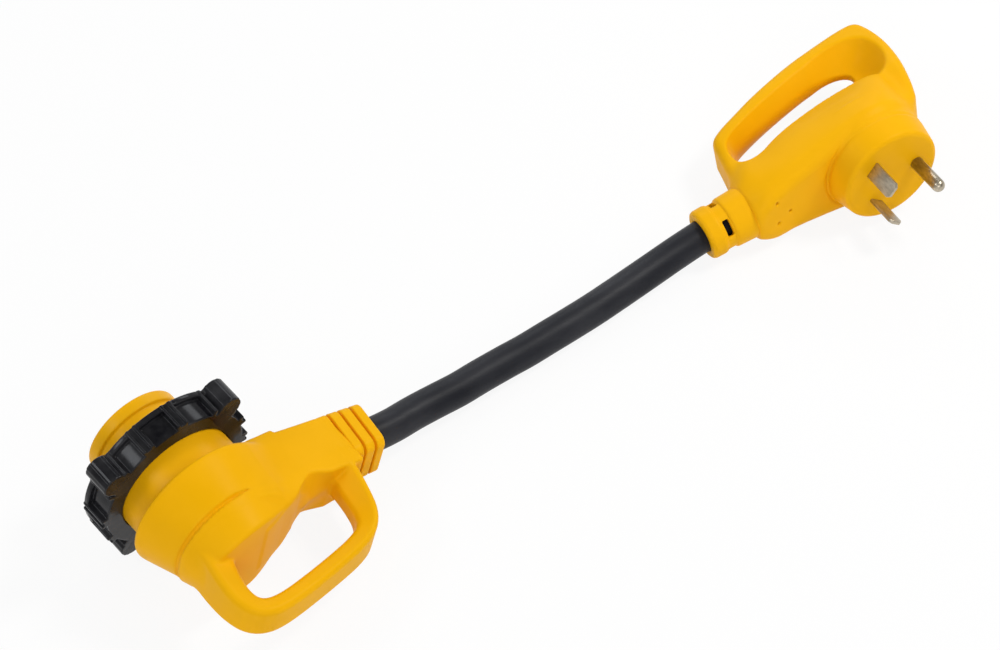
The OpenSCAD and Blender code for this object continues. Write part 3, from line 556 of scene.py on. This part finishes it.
def prong_blade(name, side):
    """A flat blade with bevelled edges and a chamfered end."""
    w, t, length, nose = BLADE_WIDTH / 2, BLADE_THICK / 2, BLADE_LENGTH, BLADE_NOSE
    outline = [(-w, -BLADE_STEM), (w, -BLADE_STEM), (w, length - nose), (w - nose, length),
               (-w + nose, length), (-w, length - nose)]
    slant = Matrix.Rotation(math.radians(side * BLADE_SLANT), 4, "Y")
    place = PLUG @ Matrix.Translation((BLADE_ROW, 0, side * BLADE_SIDE)) @ slant
    mesh = bmesh.new()
    low = [mesh.verts.new(place @ Vector((x, y, -t))) for x, y in outline]
    high = [mesh.verts.new(place @ Vector((x, y, t))) for x, y in outline]
    mesh.faces.new(low[::-1])
    mesh.faces.new(high)
    for i in range(len(outline)):
        j = (i + 1) % len(outline)
        mesh.faces.new((low[i], low[j], high[j], high[i]))
    bmesh.ops.recalc_face_normals(mesh, faces=mesh.faces)
    bmesh.ops.bevel(mesh, geom=list(mesh.edges), offset=0.28 * MM, segments=3, profile=0.5, affect="EDGES")
    data = bpy.data.meshes.new(name)
    mesh.to_mesh(data)
    mesh.free()
    data.shade_smooth()
    obj = bpy.data.objects.new(name, data)
    COLLECTION.objects.link(obj)
    return obj


blade_hot = prong_blade("prong_blade_hot", 1)
blade_neutral = prong_blade("prong_blade_neutral", -1)
PIN_R, PIN_STEM_R, PIN_STEM, PIN_LENGTH, PIN_ROW = 3.3, 2.0, 12, 22.0, 14.2
PIN_ROUND = 18.7  # where the pin's rounded end begins
pin_profile = ([(0, -PIN_STEM), (PIN_STEM_R, -PIN_STEM), (PIN_STEM_R, -0.4), (PIN_R, -0.3),
                (PIN_R, PIN_ROUND)]
               + [(PIN_R * math.cos(a), PIN_ROUND + PIN_R * math.sin(a))
                  for a in (math.radians(8 * k) for k in range(1, 11))]
               + [(0, PIN_LENGTH)])
pin_place = PLUG @ Matrix.Translation((-PIN_ROW, 0, 0))
pin = lathe("prong_earth_pin", pin_profile, pin_place, sides=48, closed=False)


# ---------- materials ----------
def material(name, colour, rough, metallic=0.0, spread=0.04, patch=18.0, grain=900.0, bump=0.05,
             depth=0.0001, stretch=(1, 1, 1), rough_spread=0.06, specular=0.5, scuff=0.0):
    """A procedural finish: patchy colour, uneven gloss and a fine grain."""
    mat = bpy.data.materials.new(name)
    mat.use_nodes = True
    tree = mat.node_tree
    tree.nodes.clear()
    link = tree.links.new

    def node(kind, **values):
        n = tree.nodes.new(kind)
        for key, value in values.items():
            n.inputs[key].default_value = value
        return n

    out = node("ShaderNodeOutputMaterial")
    shader = node("ShaderNodeBsdfPrincipled", Metallic=metallic)
    shader.inputs["Specular IOR Level"].default_value = specular
    link(shader.outputs["BSDF"], out.inputs["Surface"])
    place = node("ShaderNodeTexCoord")
    mapping = node("ShaderNodeMapping", Scale=stretch)
    link(place.outputs["Object"], mapping.inputs["Vector"])
    big = node("ShaderNodeTexNoise", Scale=patch, Detail=4.0, Roughness=0.6)
    small = node("ShaderNodeTexNoise", Scale=grain, Detail=3.0, Roughness=0.55)
    mid = node("ShaderNodeTexNoise", Scale=patch * 9, Detail=5.0, Roughness=0.65)
    for n in (big, small, mid):
        link(mapping.outputs["Vector"], n.inputs["Vector"])
    ramp = node("ShaderNodeValToRGB")
    dark = [c * (1 - spread) for c in colour]
    light = [min(1.0, c * (1 + spread) + 0.15 * spread * (1 - c)) for c in colour]
    ramp.color_ramp.elements[0].position = 0.3
    ramp.color_ramp.elements[0].color = (*dark, 1)
    ramp.color_ramp.elements[1].position = 0.7
    ramp.color_ramp.elements[1].color = (*light, 1)
    link(big.outputs["Fac"], ramp.inputs["Fac"])
    tint = ramp.outputs["Color"]
    if scuff:
        marks = node("ShaderNodeTexNoise", Scale=patch * 22, Detail=8.0, Roughness=0.8)
        link(mapping.outputs["Vector"], marks.inputs["Vector"])
        few = node("ShaderNodeMapRange")
        few.inputs["From Min"].default_value = 0.62
        few.inputs["From Max"].default_value = 0.74
        few.inputs["To Max"].default_value = scuff
        link(marks.outputs["Fac"], few.inputs["Value"])
        mix = tree.nodes.new("ShaderNodeMix")
        mix.data_type = "RGBA"
        link(few.outputs["Result"], mix.inputs["Factor"])
        link(tint, mix.inputs["A"])
        mix.inputs["B"].default_value = (*[c * 0.72 + 0.02 for c in colour], 1)
        tint = mix.outputs["Result"]
    link(tint, shader.inputs["Base Color"])
    gloss = node("ShaderNodeMapRange")
    gloss.inputs["To Min"].default_value = max(0.02, rough - rough_spread)
    gloss.inputs["To Max"].default_value = min(1.0, rough + rough_spread)
    link(mid.outputs["Fac"], gloss.inputs["Value"])
    link(gloss.outputs["Result"], shader.inputs["Roughness"])
    height = node("ShaderNodeBump", Strength=bump, Distance=depth)
    link(small.outputs["Fac"], height.inputs["Height"])
    link(height.outputs["Normal"], shader.inputs["Normal"])
    return mat


YELLOW = (0.90, 0.452, 0.001)
yellow = material("yellow_moulding", YELLOW, 0.42, spread=0.03, patch=22, grain=1500, bump=0.12,
                  depth=0.00012, scuff=0.05, specular=0.045)
yellow_barrel = material("yellow_barrel", YELLOW, 0.36, spread=0.02, patch=30, grain=1800, bump=0.05,
                         specular=0.1)
ring_black = material("black_ring", (0.003, 0.003, 0.005), 0.13, spread=0.2, patch=60, grain=1400, bump=0.06,
                      rough_spread=0.05, specular=0.14)
rubber = material("cord_rubber", (0.010, 0.011, 0.016), 0.44, spread=0.18, patch=40, grain=700, bump=0.25,
                  depth=0.0002, specular=0.14, stretch=(0.25, 1, 1), rough_spread=0.1)
nickel = material("plated_prong", (0.47, 0.41, 0.31), 0.36, metallic=1.0, spread=0.24, patch=700,
                  grain=2600, bump=0.3, stretch=(1, 0.35, 1), rough_spread=0.16, depth=0.0002)
brass = material("contact_brass", (0.72, 0.50, 0.20), 0.3, metallic=1.0, spread=0.08, patch=90, grain=1500)
copper = material("copper_strands", (0.72, 0.32, 0.16), 0.35, metallic=1.0, spread=0.1, patch=120,
                  grain=1800, bump=0.3)
steel = material("screw_steel", (0.48, 0.49, 0.5), 0.34, metallic=1.0, spread=0.08, patch=200, grain=2000)
seal_rubber = material("seal_rubber", (0.02, 0.02, 0.02), 0.62, spread=0.2, patch=80, grain=900, bump=0.2)
carrier = material("grey_carrier", (0.16, 0.165, 0.17), 0.5, spread=0.08, patch=60, grain=1300, bump=0.1)
insert_black = material("black_insert", (0.02, 0.02, 0.022), 0.4, spread=0.15, patch=60, grain=1500,
                        bump=0.08)
wire_black = material("black_insulation", (0.015, 0.015, 0.016), 0.4, spread=0.2, patch=80, grain=900)
wire_white = material("white_insulation", (0.75, 0.75, 0.72), 0.45, spread=0.05, patch=80, grain=900)
wire_green = material("green_insulation", (0.03, 0.22, 0.06), 0.45, spread=0.1, patch=80, grain=900)

node_finish = {
    "plug_blade_carrier": carrier, "contact_backplate": carrier, "contact_insert": insert_black,
    "backplate_screws": steel, "hot_insulation": wire_black, "neutral_insulation": wire_white,
    "ground_insulation": wire_green}
for name, obj in nodes.items():
    finish = node_finish.get(name)
    if finish is None:
        finish = copper if name.endswith("_copper") else brass
    obj.data.materials.clear()
    obj.data.materials.append(finish)


def dress(piece, body, finish, slot, *replaced):
    piece.data.materials.clear()
    piece.data.materials.append(finish)
    if replaced:
        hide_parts(*replaced)
    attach(piece, body)


dress(cord_piece, "adapter", rubber, "cord_rubber", "cord_jacket")
dress(plug_body, "adapter", yellow, "yellow_moulding", "plug_overmold")
dress(plug_collar, "adapter", yellow, "yellow_moulding")
dress(conn_body, "adapter", yellow, "yellow_moulding", "connector_overmold")
dress(conn_collar, "adapter", yellow, "yellow_moulding")
dress(barrel, "adapter", yellow_barrel, "yellow_barrel", "connector_barrel")
dress(blade_hot, "adapter", nickel, "plated_prong", "hot_blade")
dress(blade_neutral, "adapter", nickel, "plated_prong", "neutral_blade")
dress(pin, "adapter", nickel, "plated_prong", "ground_pin")
dress(seal, "seal", seal_rubber, "seal_rubber", "ring_seal")
dress(ring, "ring", ring_black, "black_ring", "locking_ring")


# ---------- floor, sky and lamps ----------
def white_to_camera(tree, base):
    """How much of a surface shows as plain white to the camera and in reflections."""
    path = tree.nodes.new("ShaderNodeLightPath")
    first = tree.nodes.new("ShaderNodeMath")
    first.operation = "MAXIMUM"
    tree.links.new(path.outputs["Is Camera Ray"], first.inputs[0])
    tree.links.new(path.outputs["Is Glossy Ray"], first.inputs[1])
    both_rays = tree.nodes.new("ShaderNodeMath")
    both_rays.operation = "MAXIMUM"
    tree.links.new(first.outputs[0], both_rays.inputs[0])
    tree.links.new(path.outputs["Is Transmission Ray"], both_rays.inputs[1])
    share = tree.nodes.new("ShaderNodeMath")
    share.operation = "MULTIPLY"
    share.inputs[1].default_value = base
    tree.links.new(both_rays.outputs[0], share.inputs[0])
    return share.outputs[0]


FLOOR_HALF = 6.0
WHITE_SHARE = 0.9  # how much of the floor is plain white to the camera; the rest keeps the shadow
# height, from the horizon at 0 to straight up at 1, and the grey level there
SKY_LEVELS = ((0.0, 0.8), (0.12, 0.7), (0.3, 0.25), (0.65, 0.22), (0.9, 0.4), (1.0, 0.45))
SKY_STRENGTH = 1.05


def make_floor():
    corners = [(sx * FLOOR_HALF, sy * FLOOR_HALF, 0) for sx, sy in ((-1, -1), (1, -1), (1, 1), (-1, 1))]
    floor = new_mesh("floor", corners, [(0, 1, 2, 3)], smooth=False)
    mat = bpy.data.materials.new("floor_white")
    mat.use_nodes = True
    tree = mat.node_tree
    tree.nodes.clear()
    out = tree.nodes.new("ShaderNodeOutputMaterial")
    diffuse = tree.nodes.new("ShaderNodeBsdfDiffuse")
    diffuse.inputs["Color"].default_value = (0.93, 0.93, 0.93, 1)
    glow = tree.nodes.new("ShaderNodeEmission")
    glow.inputs["Strength"].default_value = 1.0
    mix = tree.nodes.new("ShaderNodeMixShader")
    tree.links.new(white_to_camera(tree, WHITE_SHARE), mix.inputs["Fac"])
    tree.links.new(diffuse.outputs[0], mix.inputs[1])
    tree.links.new(glow.outputs[0], mix.inputs[2])
    tree.links.new(mix.outputs[0], out.inputs["Surface"])
    floor.data.materials.append(mat)


def make_world():
    world = bpy.data.worlds.new("studio")
    bpy.context.scene.world = world
    world.use_nodes = True
    tree = world.node_tree
    tree.nodes.clear()
    out = tree.nodes.new("ShaderNodeOutputWorld")
    soft = tree.nodes.new("ShaderNodeBackground")
    place = tree.nodes.new("ShaderNodeTexCoord")
    parts = tree.nodes.new("ShaderNodeSeparateXYZ")
    sky = tree.nodes.new("ShaderNodeValToRGB")
    ramp = sky.color_ramp
    for at, level in SKY_LEVELS:
        stop = ramp.elements[0] if at == 0 else ramp.elements[-1] if at == 1 else ramp.elements.new(at)
        stop.color = (level, level, level, 1)
    tree.links.new(place.outputs["Generated"], parts.inputs["Vector"])
    tree.links.new(parts.outputs["Z"], sky.inputs["Fac"])
    tree.links.new(sky.outputs["Color"], soft.inputs["Color"])
    soft.inputs["Strength"].default_value = SKY_STRENGTH
    tree.links.new(soft.outputs[0], out.inputs["Surface"])


def lamp(name, at, aim, size, power, colour=(1, 1, 1)):
    data = bpy.data.lights.new(name, "AREA")
    data.shape = "RECTANGLE"
    data.size, data.size_y = size
    data.energy = power
    data.color = colour
    obj = bpy.data.objects.new(name, data)
    obj.location = at
    obj.rotation_euler = (Vector(at) - Vector(aim)).to_track_quat("Z", "Y").to_euler()
    COLLECTION.objects.link(obj)


make_floor()
make_world()
lamp("key", (0.70, -0.12, 1.02), (-0.1, 0.0, 0.04), (0.28, 0.28), 7.2, (1.0, 0.98, 0.95))
lamp("front_fill", (-0.55, -1.15, 0.85), (0.0, 0.0, 0.03), (0.9, 0.6), 5.3, (0.98, 0.98, 1.0))
lamp("left_strip", (-0.98, 0.25, 0.92), (-0.1, 0.0, 0.03), (0.5, 0.25), 2.9, (0.93, 0.96, 1.0))
lamp("back_strip", (0.45, 0.95, 0.62), (0.0, 0.0, 0.03), (0.9, 0.25), 2.9, (0.93, 0.96, 1.0))
bpy.context.scene.view_settings.view_transform = "Standard"
